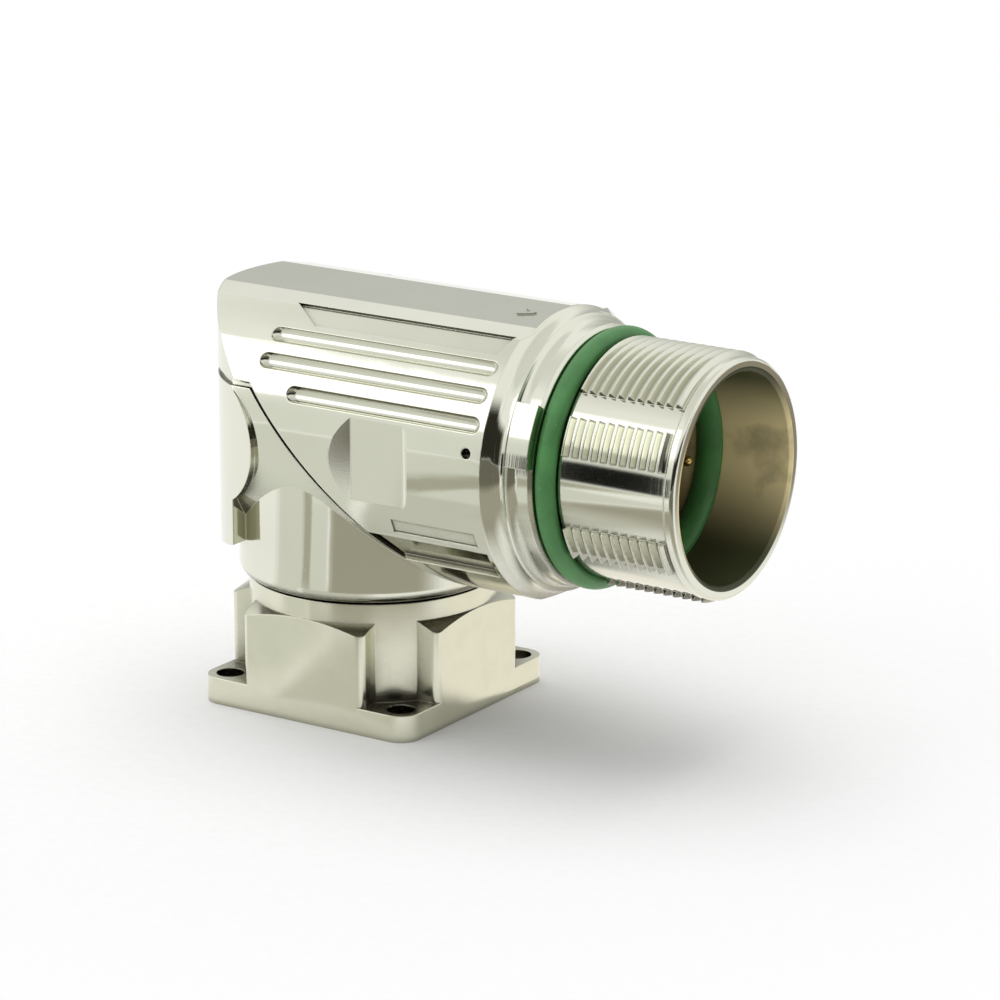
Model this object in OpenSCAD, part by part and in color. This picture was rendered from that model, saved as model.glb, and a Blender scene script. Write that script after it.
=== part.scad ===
// Angled circular connector socket with a turning elbow on a square flange.
// Origin: centre of the flange underside. +Z is the swivel axis, +X points out of the mouth.

/* [Flange] */
// Spacing of the four mounting holes, both ways
hole_pitch = 19.8; // [19:0.1:24]
// Diameter of a mounting hole
hole_d = 2.7; // [2.2:0.1:3.2]
// Hole centre to the edge of the flange
ear_margin = 2.1; // [1.9:0.1:4]
// Thickness of the ears
ear_t = 2.6; // [2.4:0.1:4]
// Corner radius of the ears
ear_corner_r = 2.0; // [1:0.1:2.4]
// Side of the square cut above each ear
notch_w = 5.1; // [4.6:0.1:5.6]
// Rounding of the upright edges beside a notch
notch_edge_r = 0.8; // [0.3:0.1:1.2]
// Height of the arched block at the middle of a side
block_h = 10.35; // [9.2:0.05:12]
// Rise of the cone that arches the block's top, per millimetre of radius
block_cone = 0.5; // [0.2:0.05:0.8]
// Rise of the round collar above the block, up to the turning joint
collar_rise = 1.85; // [1.4:0.05:4]
// How far the round collar stands in from the flat sides
collar_setback = 0.1; // [0.1:0.1:0.6]

/* [Swivel] */
// Height of the neck below the body's flat underside
neck_rise = 1.35; // [1:0.05:6]
// How far the neck stands in from the body's side
neck_inset = 1.2; // [0.8:0.1:2]
// Wall of the neck
neck_wall = 3.2; // [2.6:0.1:3.4]
// Rounding at the foot of the neck
neck_foot_r = 1.2; // [0.3:0.1:1.3]
// Running gap between the neck and the collar
swivel_gap = 0.15; // [0.1:0.05:0.3]
// Radius of the spigot that turns in the base
spigot_r = 8.8; // [8.4:0.1:9]
// Radial running clearance of the spigot
spigot_clear = 0.06; // [0.03:0.01:0.1]
// Wall of the spigot round the passage for the wires
spigot_wall = 1.8; // [1.6:0.1:3]
// Angle taken by one stop lug
stop_angle = 14; // [10:1:24]
// Radial width of a stop lug
stop_w = 1.0; // [0.8:0.1:1.2]
// Height of a stop lug
stop_h = 1.0; // [0.6:0.1:1.2]
// Clearance round the turning stop lug
stop_clear = 0.2; // [0.1:0.05:0.3]

/* [Body] */
// Radius of the body about the mating axis
body_r = 14; // [13.6:0.1:15]
// How much the body's back, round about the swivel axis, stands out past that radius
rear_extra = 0.5; // [0.2:0.1:2]
// Height of the back's foot above the body's flat underside
rear_foot_rise = 1.0; // [0.5:0.1:2]
// Slope of the back's underside, up towards the neck
rear_foot_slope = 13; // [0:1:18]
// Rounding of the back's lower edge
rear_foot_r = 0.7; // [0.4:0.1:1]
// How far the elbow's sides stand in from the housing
elbow_inset = 0.6; // [0.2:0.1:0.8]
// How far behind the swivel axis the elbow's full back starts
rear_wall_x = 7.3; // [6:0.1:9]
// Thickness of that back, in as far as the neck
rear_lip_t = 2.2; // [1.9:0.1:2.6]
// How far behind the swivel axis the cheeks of that back reach
cheek_x = 4.0; // [3:0.1:6]
// Radius of the cheeks' round front
cheek_r = 6.2; // [5:0.1:8]
// Height of the flat top above the mating axis
top_h = 12.4; // [12:0.1:13]
// Half the width of the flat top
top_half_w = 4.6; // [3:0.1:5.2]
// Slope of the narrow faces beside the flat top
top_slope = 10; // [6:1:16]
// Depth of the flat underside below the mating axis
under_h = 13.5; // [13.2:0.1:13.8]
// Where the body ends in front
front_x = 22; // [21:0.1:26]
// Chamfer round the front of the body
front_chamfer = 0.5; // [0.2:0.1:0.8]
// Radius of the hollow behind the contacts
cavity_r = 10; // [9.8:0.1:10.2]
// Height of the level part of the joint above the mating axis
split_rise = 5.4; // [4:0.1:7]
// Where the joint turns from level to slanted
split_x = -4.8; // [-7:0.1:-3]
// Width of the visible seam
seam_w = 0.7; // [0.4:0.05:0.9]
// Depth of the visible seam
seam_d = 0.3; // [0.2:0.05:0.4]

/* [Grip] */
// Angles of the grip grooves above the side, in degrees
groove_angles = [43.5, 32.3, 21];
// Where each grip groove starts
groove_starts = [-4.2, -4.4, -0.5];
// Smooth length between the grip grooves and the front of the body
groove_stop = 1.9; // [1.4:0.1:6]
// Radius of a grip groove
groove_r = 0.85; // [0.5:0.05:1.1]
// Depth of a grip groove
groove_d = 0.55; // [0.2:0.05:0.7]
// Depth of the long panel above the grooves
panel_d = 0.5; // [0.2:0.05:0.8]
// Depth of the flat pocket on the side
pocket_d = 0.55; // [0.2:0.05:0.8]
// Length of the slope at the pocket's back
pocket_ramp_l = 2.2; // [1:0.1:3]
// Depth of the long relief under the side
relief_d = 0.8; // [0.4:0.05:1]

/* [Barrel] */
// Outer diameter of the thread
thread_d = 23; // [22.6:0.1:24]
// Pitch of the thread
thread_pitch = 1; // [0.75:0.05:1.25]
// Depth of the thread
thread_depth = 0.6; // [0.4:0.02:0.6]
// Length of the threaded stretch
thread_l = 11; // [8:0.5:16]
// Wall of the socket below the thread
barrel_wall = 1.1; // [0.9:0.05:1.5]
// How far the rim at the mouth stands out past the thread's root
rim_proud = 0.2; // [0.1:0.05:0.5]
// Length of the rim
rim_l = 1.1; // [0.9:0.05:2]
// How far the crest between the collar's two coves stands in from the body's front edge
crest_drop = 0.55; // [0.3:0.05:0.8]
// Length of the cove beside the body
cove_l = 1.2; // [0.8:0.1:1.5]
// Length of the cove in front of the crest
second_cove_l = 0.95; // [0.6:0.05:1.1]
// How far the two keys stand out past the shoulder
key_h = 0.7; // [0.3:0.05:0.9]
// Radius of the shoulder behind the ring
shoulder_r = 12.2; // [11.8:0.1:12.6]
// Length from the front of the body to the ring
shoulder_l = 3.75; // [3:0.05:6]

/* [Seals] */
// Thickness of the ring behind the thread
ring_d = 1.9; // [1.6:0.05:2.2]
// Width of the seal in the mouth
face_seal_w = 2.6; // [1.6:0.1:3]
// Depth of the face seal below the mouth
face_seal_depth = 7.3; // [6:0.1:8]
// How far the face seal stands in from the socket's wall
face_seal_proud = 0.9; // [0.4:0.1:1.2]
// Depth of the face seal's seat in the wall
face_seal_seat = 0.4; // [0.2:0.05:0.5]
// Thickness of the ring on the spigot
spigot_ring_d = 1.2; // [0.9:0.1:1.4]
// Thickness of the ring under the flange
flange_ring_d = 1.2; // [1:0.1:1.4]
// Thickness of the gasket in the slanted joint
gasket_t = 0.7; // [0.4:0.1:0.8]
// Width of the gasket
gasket_w = 1.0; // [0.6:0.1:1.2]

/* [Contacts] */
// Number of contacts in the outer circle
outer_contacts = 9; // [6:1:10]
// Number of contacts in the inner circle
inner_contacts = 3; // [2:1:4]
// Radius of the outer circle of contacts
outer_circle_r = 6.4; // [5.8:0.1:7]
// Radius of the inner circle of contacts
inner_circle_r = 2.6; // [2:0.1:3]
// Diameter of a contact's pin
pin_d = 1; // [0.8:0.1:1.2]
// Diameter of a contact's body
contact_d = 1.6; // [1.4:0.1:1.8]
// Depth of the pins' tips below the mouth
pin_tip_depth = 8.5; // [7.8:0.1:10]
// Depth of the insert's face below the mouth
insert_face_depth = 15.8; // [14:0.1:16.4]
// Length of the insert
insert_l = 10; // [8:0.1:11]
// Width of the shoulder that the insert seats on
insert_step = 0.9; // [0.6:0.1:1.2]
// Thickness of the insert's flange
insert_flange_t = 3; // [2:0.1:3.4]
// Thickness of the ring that holds the insert
retainer_t = 1; // [0.6:0.1:1.2]
// Angle left open in the snap rings
snap_gap = 34; // [20:1:60]

/* [Hidden] */
$fn = 64;
// Overlap that joins or cuts through cleanly
eps = 0.01;
// A little past a face
past = 1;
// A length past every face of the part
far = 80;

// Base, worked out
flange_w = hole_pitch + 2 * ear_margin;
half_w = flange_w / 2;
collar_h = block_h + collar_rise;
collar_r = half_w - collar_setback;
base_bore_r = spigot_r + spigot_clear;
block_arm = flange_w - 2 * notch_w;

// Snap ring under the base, in a recess clear of the panel
snap_recess_h = 2.2;
snap_t = 0.8;
snap_run = 0.1;
snap_top = snap_recess_h - snap_run;
snap_bottom = snap_top - snap_t;
snap_overlap = 0.8;
snap_room = 0.2;
snap_sink = 0.7;
snap_r = spigot_r + snap_overlap;
snap_recess_r = snap_r + snap_room;
snap_groove_r = spigot_r - snap_sink;
spigot_foot = 0.6;

// Seal rings at the swivel
spigot_ring_drop = 5.2;
spigot_ring_z = collar_h - spigot_ring_drop;
spigot_ring_fit = 0.03;
spigot_ring_out = base_bore_r - spigot_ring_fit;
spigot_ring_sink = 1.14;
spigot_groove_r = spigot_r - spigot_ring_sink;
flange_ring_lift = 0.05;
flange_ring_wall = 0.5;
flange_ring_r = snap_recess_r + flange_ring_wall + flange_ring_d / 2;
flange_mouth_trim = 0.06;

// Neck and stop lugs, which run in a ring-shaped recess in the collar
stop_wall = 0.6;
stop_in_r = base_bore_r + stop_wall;
stop_out_r = stop_in_r + stop_w + 2 * stop_clear;
lug_root = 0.5;
neck_r = body_r - neck_inset;
neck_foot_z = collar_h + swivel_gap;
neck_bore_r = neck_r - neck_wall;
neck_floor_t = 2;
under_z = neck_foot_z + neck_rise;
axis_h = under_z + under_h;
wire_r = spigot_r - spigot_wall;

// Elbow's back, and the joint between elbow and housing
rear_r = body_r + rear_extra;
rear_foot_z = under_z + rear_foot_rise;
rear_wall_foot_z = rear_foot_z + (rear_r - rear_wall_x) * tan(rear_foot_slope);
cheek_drop = 0.9;
split_z = axis_h + split_rise;
split_slope = 45;
gasket_wall = 0.7;
gasket_inset = elbow_inset + gasket_wall;

// Barrel, worked out
front_collar_r = body_r - front_chamfer;
collar_lip = 0.3;
crest_r = front_collar_r - crest_drop;
crest_w = 0.15;
crest_x = front_x + cove_l;
cove_steps = 6;
shoulder_edge = 0.3;
shoulder_x = front_x + shoulder_l;
key_angles = [7, 33.8];
key_root = 0.5;
key_gap = 0.05;
thread_r = thread_d / 2;
root_r = thread_r - thread_depth;
socket_r = root_r - barrel_wall;
ring_sink = 0.6;
ring_fit = 0.05;
ring_room = 0.15;
ring_seat_r = root_r - ring_sink;
ring_x = shoulder_x + ring_fit + ring_d / 2;
thread_start = shoulder_x + ring_fit + ring_d + ring_room;
thread_end = thread_start + thread_l;
thread_ridges = floor(thread_l / thread_pitch + eps);
crest_flat = thread_pitch / 8;
root_flat = thread_pitch / 4;
ridge_flank = (thread_pitch - crest_flat - root_flat) / 2;
rim_r = root_r + rim_proud;
rim_round = 0.35;
mouth_x = thread_end + rim_l;
mouth_chamfer = 0.25;

// Smooth bands that break the thread, each from one angle above the side to another
smooth_bands = [[33.5, 47], [-20, 15], [-74, -38]];
ridge_root = 0.3;

// Places on the body's sides and top, most of them measured back from its front
groove_end = front_x - groove_stop;
panel_angle = 54.5;
panel_half_w = 1.25;
panel_slant = 3.4;
panel_end_slant = 0.8;
pocket_back = 15;
pocket_front = 9.4;
pocket_x = [front_x - pocket_back, front_x - pocket_front];
pocket_half_h = 7;
pocket_end_r = 1;
strip_angle = -25;
strip_back = 11;
strip_front = 1.8;
strip_x = [front_x - strip_back, front_x - strip_front];
strip_half_w = 0.75;
strip_d = 0.15;
relief_angle = -38;
relief_back = 18;
relief_front = 1;
relief_x = [front_x - relief_back, front_x - relief_front];
relief_half_w = 1.7;
dimple_angle = 10.3;
dimple_back = 2.1;
dimple_x = front_x - dimple_back;
dimple_r = 0.5;
dimple_d = 0.8;
cut_h = 3;
chevron_back = 3.8;
chevron_x = front_x - chevron_back;
chevron_angle = 40;
chevron_w = 0.5;
chevron_l = 1.6;
chevron_h = 0.15;

// Insert and contacts, worked out
face_seal_crown_r = 1.95;
insert_clear = 0.05;
insert_bore_r = cavity_r - insert_step;
insert_r = insert_bore_r - insert_clear;
insert_flange_r = cavity_r - insert_clear;
insert_face_x = mouth_x - insert_face_depth;
insert_back_x = insert_face_x - insert_l;
insert_seat_x = insert_back_x + insert_flange_t;
retainer_w = 1.7;
retainer_sink = 0.6;
retainer_in_r = cavity_r - retainer_w;
retainer_out_r = cavity_r + retainer_sink;
pin_tip_x = mouth_x - pin_tip_depth;
contact_clear = 0.02;
solder_l = 3;
contact_step = 3.5;
contact_back_x = insert_back_x - solder_l;
contact_step_x = insert_face_x - contact_step;
cup_wall = 0.3;
cup_depth = 2;
contact_count = outer_contacts + inner_contacts;

nickel = "#d3d0c2";
seal_green = "#568c50";
seal_black = "#1d1f1e";
insulator = "#232523";
gold = "#c9a24a";
steel = "#9fa1a0";

CONTACT_NODES = [for (i = [1 : contact_count]) str("contact_pin_", i)];

// Place of contact i, as its circle's radius and its angle
function contact_ring_r(i) = i < outer_contacts ? outer_circle_r : inner_circle_r;
function contact_angle(i) = i < outer_contacts
    ? i * 360 / outer_contacts
    : (i - outer_contacts + 0.5) * 360 / inner_contacts;

// Height of the arched block at a radius
function block_top(r) = block_h - (r - collar_r) * block_cone;

// Puts a shape made about +Z on the mating axis, its +Z along +X
module on_axis(x = 0) {
    translate([x, 0, axis_h])
        rotate([0, 90, 0])
            children();
}

// Puts a shape made at -Y at an angle above the side, on both sides of the body
module on_flanks(angle) {
    for (side = [0, 1])
        mirror([0, side, 0])
            translate([0, 0, axis_h])
                rotate([-angle, 0, 0])
                    children();
}

// Straight round bar along the mating axis
module axis_bar(r, from_x, to_x) {
    on_axis(from_x)
        cylinder(r = r, h = to_x - from_x);
}

module torus(r, d) {
    rotate_extrude()
        translate([r, 0])
            circle(d = d);
}

module rounded_plate(w, l, r) {
    square([w - 2 * r, l], center = true);
    square([w, l - 2 * r], center = true);
    for (x = [-1, 1], y = [-1, 1])
        translate([x * (w / 2 - r), y * (l / 2 - r)])
            circle(r = r);
}

// A flat ring, its underside at zero
module flat_ring(in_r, out_r, t) {
    difference() {
        cylinder(r = out_r, h = t);
        translate([0, 0, -eps])
            cylinder(r = in_r, h = t + 2 * eps);
    }
}

// A flat ring with a gap towards +X
module snap_ring(in_r, out_r, t) {
    difference() {
        flat_ring(in_r, out_r, t);
        translate([0, 0, -eps])
            linear_extrude(t + 2 * eps)
                sector(snap_gap, far);
    }
}

// A wedge about +X
module sector(angle, r) {
    reach = r * tan(angle / 2);
    polygon([[0, 0], [r, -reach], [r, reach]]);
}

// What a rounding takes off the lower edge of a round body
module foot_cut(r, z, round_r) {
    rotate_extrude()
        translate([r - round_r, z])
            difference() {
                translate([0, -past])
                    square([round_r + past, round_r + past]);
                translate([0, round_r])
                    circle(r = round_r);
            }
}

// Square flange, turned to hold the neck
module mounting_flange() {
    color(nickel)
        difference() {
            union() {
                linear_extrude(ear_t)
                    rounded_plate(flange_w, flange_w, ear_corner_r);
                arched_block();
                cylinder(r = collar_r, h = collar_h);
            }
            translate([0, 0, -eps])
                cylinder(r = base_bore_r, h = far);
            translate([0, 0, -eps])
                cylinder(r = snap_recess_r, h = snap_recess_h + eps);
            stop_recess();
            mounting_holes();
            translate([0, 0, flange_ring_lift + flange_ring_d / 2])
                torus(flange_ring_r, flange_ring_d);
            flange_seal_mouth();
        }
}

// Cross-shaped block whose top is cut by a cone, so that each side is arched
module arched_block() {
    reach = flange_w;
    intersection() {
        linear_extrude(block_h + past)
            union() {
                rounded_plate(flange_w, block_arm, notch_edge_r);
                rounded_plate(block_arm, flange_w, notch_edge_r);
            }
        rotate_extrude()
            polygon([[0, 0], [reach, 0], [reach, block_top(reach)], [collar_r, block_h], [0, block_h]]);
    }
}

module mounting_holes() {
    for (x = [-1, 1], y = [-1, 1])
        translate([x * hole_pitch / 2, y * hole_pitch / 2, -eps])
            cylinder(d = hole_d, h = ear_t + 2 * eps);
}

// Open side of the groove under the flange
module flange_seal_mouth() {
    half = flange_ring_d / 2 - flange_mouth_trim;
    translate([0, 0, -eps])
        flat_ring(flange_ring_r - half, flange_ring_r + half, flange_ring_lift + flange_ring_d / 2);
}

// Ring-shaped recess for the turning lug, with the fixed lug left standing at the back
module stop_recess() {
    depth = stop_h + stop_clear;
    translate([0, 0, collar_h - depth])
        difference() {
            flat_ring(stop_in_r, stop_out_r, depth + eps);
            translate([0, 0, -eps])
                linear_extrude(depth + past)
                    rotate(180)
                        sector(stop_angle, far);
        }
}

module flange_seal() {
    color(seal_black)
        translate([0, 0, flange_ring_lift + flange_ring_d / 2])
            torus(flange_ring_r, flange_ring_d);
}

// Section of the body across the mating axis
module body_section(inset) {
    reach = body_r * 2;
    drop = (reach - top_half_w) * tan(top_slope);
    top = top_h - inset;
    intersection() {
        circle(r = body_r - inset);
        polygon([
            [-reach, inset - under_h], [reach, inset - under_h], [reach, top - drop],
            [top_half_w, top], [-top_half_w, top], [-reach, top - drop]
        ]);
    }
}

// The body's section carried along the mating axis
module body_bar(inset) {
    translate([-rear_r - past, 0, axis_h])
        rotate([90, 0, 90])
            linear_extrude(rear_r + past + front_x)
                body_section(inset);
}

// The body's back, round about the swivel axis
module rear_round(inset) {
    difference() {
        translate([0, 0, rear_foot_z])
            cylinder(r = rear_r - inset, h = far);
        foot_cut(rear_r - inset, rear_foot_z, rear_foot_r);
    }
}

// The body's outside, with the sides and the back drawn in by their own insets
module body_outside(inset = 0, rear_inset = 0) {
    intersection() {
        body_bar(inset);
        union() {
            rear_round(rear_inset);
            translate([0, -body_r - past, 0])
                cube([front_x + past, 2 * (body_r + past), far]);
        }
    }
}

// Full back of the elbow: a round cheek on each side, and a lip down the back of the neck
module full_back() {
    difference() {
        intersection() {
            rear_round(0);
            rotate([90, 0, 0])
                linear_extrude(far, center = true)
                    union() {
                        translate([-cheek_x - cheek_r, axis_h - cheek_drop])
                            circle(r = cheek_r);
                        polygon([
                            [-rear_r, rear_foot_z], [-rear_wall_x, rear_wall_foot_z],
                            [-rear_wall_x, axis_h], [-rear_r, axis_h]
                        ]);
                    }
        }
        cylinder(r = rear_r - rear_lip_t, h = far);
    }
}

// Everything in front of the joint, moved forward by an offset
module ahead_of_joint(offset_by = 0) {
    level_z = split_z + offset_by;
    turn_x = split_x + offset_by * tan(split_slope / 2);
    rotate([90, 0, 0])
        linear_extrude(far, center = true)
            polygon([
                [-far, level_z], [turn_x, level_z], [turn_x + level_z / tan(split_slope), 0],
                [far, 0], [far, far], [-far, far]
            ]);
}

// Hollow that the wires run through, from the neck to the contacts
module cavity(to_x) {
    intersection() {
        axis_bar(cavity_r, -rear_r, to_x);
        union() {
            cylinder(r = cavity_r + rear_extra, h = far);
            translate([0, -body_r, 0])
                cube([far, 2 * body_r, far]);
        }
    }
}

// Closed band along the joint that the gasket lies in, open towards the housing
module gasket_band() {
    difference() {
        intersection() {
            body_outside(gasket_inset, gasket_inset);
            ahead_of_joint(-gasket_t);
        }
        body_outside(gasket_inset + gasket_w, gasket_inset + gasket_w);
    }
}

// Neck about the swivel axis, with a round foot
module neck_outside() {
    difference() {
        translate([0, 0, neck_foot_z])
            cylinder(r = neck_r, h = axis_h - neck_foot_z);
        foot_cut(neck_r, neck_foot_z, neck_foot_r);
    }
}

// Spigot with the grooves of the snap ring and of the seal
module spigot_outside() {
    difference() {
        translate([0, 0, spigot_foot])
            cylinder(r = spigot_r, h = neck_foot_z + past - spigot_foot);
        translate([0, 0, snap_bottom])
            flat_ring(snap_groove_r, spigot_r + past, snap_t);
        translate([0, 0, spigot_ring_z - spigot_ring_d / 2])
            flat_ring(spigot_groove_r, spigot_r + past, spigot_ring_d);
    }
}

// Lug under the neck that meets the fixed lug at both ends of the turn
module turning_lug() {
    lug_in = stop_in_r + stop_clear;
    translate([0, 0, neck_foot_z - stop_h])
        intersection() {
            flat_ring(lug_in, lug_in + stop_w, stop_h + lug_root);
            linear_extrude(far)
                sector(stop_angle, far);
        }
}

// Narrow open line round the elbow, just under the joint
module seam() {
    difference() {
        ahead_of_joint(-seam_w);
        body_outside(elbow_inset + seam_d, seam_d);
    }
}

module swivel_elbow() {
    color(nickel)
        difference() {
            union() {
                difference() {
                    union() {
                        body_outside(elbow_inset);
                        full_back();
                        neck_outside();
                    }
                    ahead_of_joint();
                    seam();
                }
                spigot_outside();
                turning_lug();
            }
            cavity(front_x);
            translate([0, 0, neck_foot_z + neck_floor_t])
                cylinder(r = neck_bore_r, h = axis_h - neck_foot_z - neck_floor_t);
            cylinder(r = wire_r, h = axis_h);
            gasket_band();
        }
}

module swivel_seal() {
    mid_r = (spigot_groove_r + spigot_ring_out) / 2;
    color(seal_black)
        translate([0, 0, spigot_ring_z])
            torus(mid_r, spigot_ring_out - spigot_groove_r);
}

module retaining_ring() {
    color(steel)
        translate([0, 0, snap_bottom])
            snap_ring(snap_groove_r, snap_r, snap_t);
}

module housing_gasket() {
    color(seal_black)
        difference() {
            gasket_band();
            ahead_of_joint();
        }
}

// Shape that keeps the front edge of the body chamfered
module front_edge() {
    on_axis()
        rotate_extrude()
            polygon([
                [0, -far], [body_r + past, -far], [body_r + past, front_x - front_chamfer - past],
                [body_r - front_chamfer, front_x], [0, front_x]
            ]);
}

// Hollow curve that runs out level, from one radius down to another over a length
function cove(from_x, l, from_r, to_r) =
    let (turn = 2 * atan((from_r - to_r) / l), bend = l / sin(turn))
        [for (i = [0 : cove_steps])
            let (a = turn * (1 - i / cove_steps))
                [to_r + bend * (1 - cos(a)), from_x + l - bend * sin(a)]];

// Outlines of the barrel, each point as radius and place along the axis
function collar_outline() = concat(
    [[0, front_x - collar_lip], [front_collar_r, front_x - collar_lip]],
    cove(front_x, cove_l, front_collar_r, crest_r),
    cove(crest_x + crest_w, second_cove_l, crest_r, shoulder_r)
);
function shoulder_outline() = [
    [shoulder_r, shoulder_x - shoulder_edge],
    [shoulder_r - shoulder_edge, shoulder_x],
    [ring_seat_r, shoulder_x],
    [ring_seat_r, thread_start - ring_room],
    [root_r, thread_start]
];
function thread_outline() = [
    for (i = [0 : thread_ridges - 1])
        let (x = thread_start + i * thread_pitch)
            for (p = [
                [root_r, x + root_flat / 2],
                [thread_r, x + root_flat / 2 + ridge_flank],
                [thread_r, x + root_flat / 2 + ridge_flank + crest_flat],
                [root_r, x + thread_pitch - root_flat / 2]
            ]) p
];
function rim_outline() = concat(
    [[root_r, thread_end], [rim_r, thread_end + rim_proud]],
    [for (a = [0 : 30 : 90])
        [rim_r - rim_round * (1 - cos(a)), mouth_x - rim_round * (1 - sin(a))]],
    [[0, mouth_x]]
);

// Collar, ring seat and rim, turned about the mating axis, with the thread round them
module barrel() {
    on_axis()
        rotate_extrude()
            polygon(concat(collar_outline(), shoulder_outline(), rim_outline()));
    difference() {
        on_axis()
            rotate_extrude()
                polygon(concat(
                    [[root_r - ridge_root, thread_start]],
                    thread_outline(),
                    [[root_r - ridge_root, thread_end]]
                ));
        for (band = smooth_bands)
            flank_wedges(band, thread_start - past, thread_end + past);
    }
    collar_keys();
}

// Wedges along the mating axis between two angles above the side, on both sides
module flank_wedges(angles, from_x, to_x) {
    on_flanks(0)
        translate([from_x, 0, 0])
            rotate([90, 0, 90])
                linear_extrude(to_x - from_x)
                    polygon(concat([[0, 0]], [for (a = angles) far * [-cos(a), sin(a)]]));
}

// Raised keys on the collar, from the crest to the ring
module collar_keys() {
    intersection() {
        on_axis(crest_x)
            flat_ring(shoulder_r - key_root, shoulder_r + key_h, shoulder_x - key_gap - crest_x);
        flank_wedges(key_angles, crest_x - past, shoulder_x + past);
    }
}

// Hollow of the housing: rear cavity, insert's bore, socket and the seats of seal and retainer
module housing_hollow() {
    seal_from = mouth_x - face_seal_depth - face_seal_w;
    cavity(insert_seat_x);
    axis_bar(insert_bore_r, insert_seat_x - eps, insert_face_x + eps);
    axis_bar(socket_r, insert_face_x, mouth_x + eps);
    axis_bar(retainer_out_r, insert_back_x - retainer_t, insert_back_x);
    axis_bar(socket_r + face_seal_seat, seal_from, seal_from + face_seal_w);
    on_axis(mouth_x - mouth_chamfer)
        cylinder(r1 = socket_r, r2 = socket_r + mouth_chamfer + eps, h = mouth_chamfer + eps);
}

// Round-ended grooves, panel, pocket, strip and relief on both sides
module grip_cuts() {
    for (i = [0 : len(groove_angles) - 1])
        on_flanks(groove_angles[i])
            grip_groove(groove_starts[i] + groove_r, groove_end);
    on_flanks(panel_angle)
        translate([0, panel_d - body_r, 0])
            rotate([90, 0, 0])
                linear_extrude(cut_h)
                    polygon([
                        [-panel_slant, panel_half_w], [0, -panel_half_w],
                        [groove_end, -panel_half_w], [groove_end + panel_end_slant, panel_half_w]
                    ]);
    on_flanks(0)
        side_pocket();
    on_flanks(strip_angle)
        side_box(strip_x, strip_half_w, strip_d);
    on_flanks(relief_angle)
        side_box(relief_x, relief_half_w, relief_d);
    on_flanks(dimple_angle)
        translate([dimple_x, dimple_d - body_r, 0])
            rotate([90, 0, 0])
                cylinder(r = dimple_r, h = cut_h);
}

module grip_groove(from_x, to_x) {
    lift = groove_r - groove_d;
    translate([from_x, -body_r - lift, 0])
        rotate([0, 90, 0])
            cylinder(r = groove_r, h = to_x - from_x);
    for (x = [from_x, to_x])
        translate([x, -body_r - lift, 0])
            sphere(r = groove_r);
}

module side_box(span, half, depth) {
    translate([span[0], depth - body_r - cut_h, -half])
        cube([span[1] - span[0], cut_h, 2 * half]);
}

// Flat pocket that runs out in a slope at the back and a short curve in front
module side_pocket() {
    slope_x = pocket_ramp_l / pocket_d;
    floor_y = pocket_d - body_r;
    translate([0, 0, -pocket_half_h])
        linear_extrude(2 * pocket_half_h)
            union() {
                polygon([
                    [pocket_x[0], floor_y], [pocket_x[1], floor_y], [pocket_x[1], floor_y - cut_h],
                    [pocket_x[0] - slope_x * cut_h, floor_y - cut_h]
                ]);
                translate([pocket_x[1], floor_y - pocket_end_r])
                    circle(r = pocket_end_r);
            }
}

// Raised arrow mark near the front of the flat top
module chevron() {
    for (side = [-1, 1])
        translate([chevron_x, 0, axis_h + top_h - eps])
            rotate(180 + side * chevron_angle)
                translate([0, -chevron_w / 2, 0])
                    cube([chevron_l, chevron_w, chevron_h + eps]);
}

module front_housing() {
    color(nickel)
        difference() {
            union() {
                difference() {
                    intersection() {
                        body_outside();
                        ahead_of_joint();
                        front_edge();
                    }
                    grip_cuts();
                }
                barrel();
                chevron();
            }
            housing_hollow();
        }
}

module vibration_ring() {
    color(seal_green)
        on_axis(ring_x)
            torus(ring_seat_r + ring_d / 2, ring_d);
}

// Seal with a crowned inner face, seated in the wall of the socket
module face_seal() {
    out_r = socket_r + face_seal_seat;
    in_r = socket_r - face_seal_proud;
    color(seal_green)
        on_axis(mouth_x - face_seal_depth - face_seal_w / 2)
            rotate_extrude()
                intersection() {
                    translate([in_r, -face_seal_w / 2])
                        square([out_r - in_r, face_seal_w]);
                    translate([in_r + face_seal_crown_r, 0])
                        circle(r = face_seal_crown_r);
                }
}

module contact_insert() {
    color(insulator)
        difference() {
            union() {
                axis_bar(insert_r, insert_back_x, insert_face_x);
                axis_bar(insert_flange_r, insert_back_x, insert_seat_x);
            }
            for (i = [0 : contact_count - 1])
                contact_place(i)
                    contact_hole();
        }
}

// Stepped hole of the insert for one contact
module contact_hole() {
    translate([0, 0, insert_back_x - past])
        cylinder(d = contact_d + 2 * contact_clear, h = contact_step_x - insert_back_x + past);
    cylinder(d = pin_d + 2 * contact_clear, h = far);
}

module contact_place(i) {
    on_axis()
        rotate(contact_angle(i))
            translate([contact_ring_r(i), 0, 0])
                children();
}

module insert_retainer() {
    color(steel)
        on_axis(insert_back_x - retainer_t)
            snap_ring(retainer_in_r, retainer_out_r, retainer_t);
}

// Turned contact: solder cup, body, pin and a round tip
module contact_pin(i) {
    pin_r = pin_d / 2;
    color(gold)
        contact_place(i)
            difference() {
                union() {
                    translate([0, 0, contact_back_x])
                        cylinder(d = contact_d, h = contact_step_x - contact_back_x);
                    translate([0, 0, contact_step_x - eps])
                        cylinder(r = pin_r, h = pin_tip_x - pin_r - contact_step_x + eps);
                    translate([0, 0, pin_tip_x - pin_r])
                        sphere(r = pin_r);
                }
                translate([0, 0, contact_back_x - eps])
                    cylinder(r = contact_d / 2 - cup_wall, h = cup_depth);
            }
}

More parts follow.
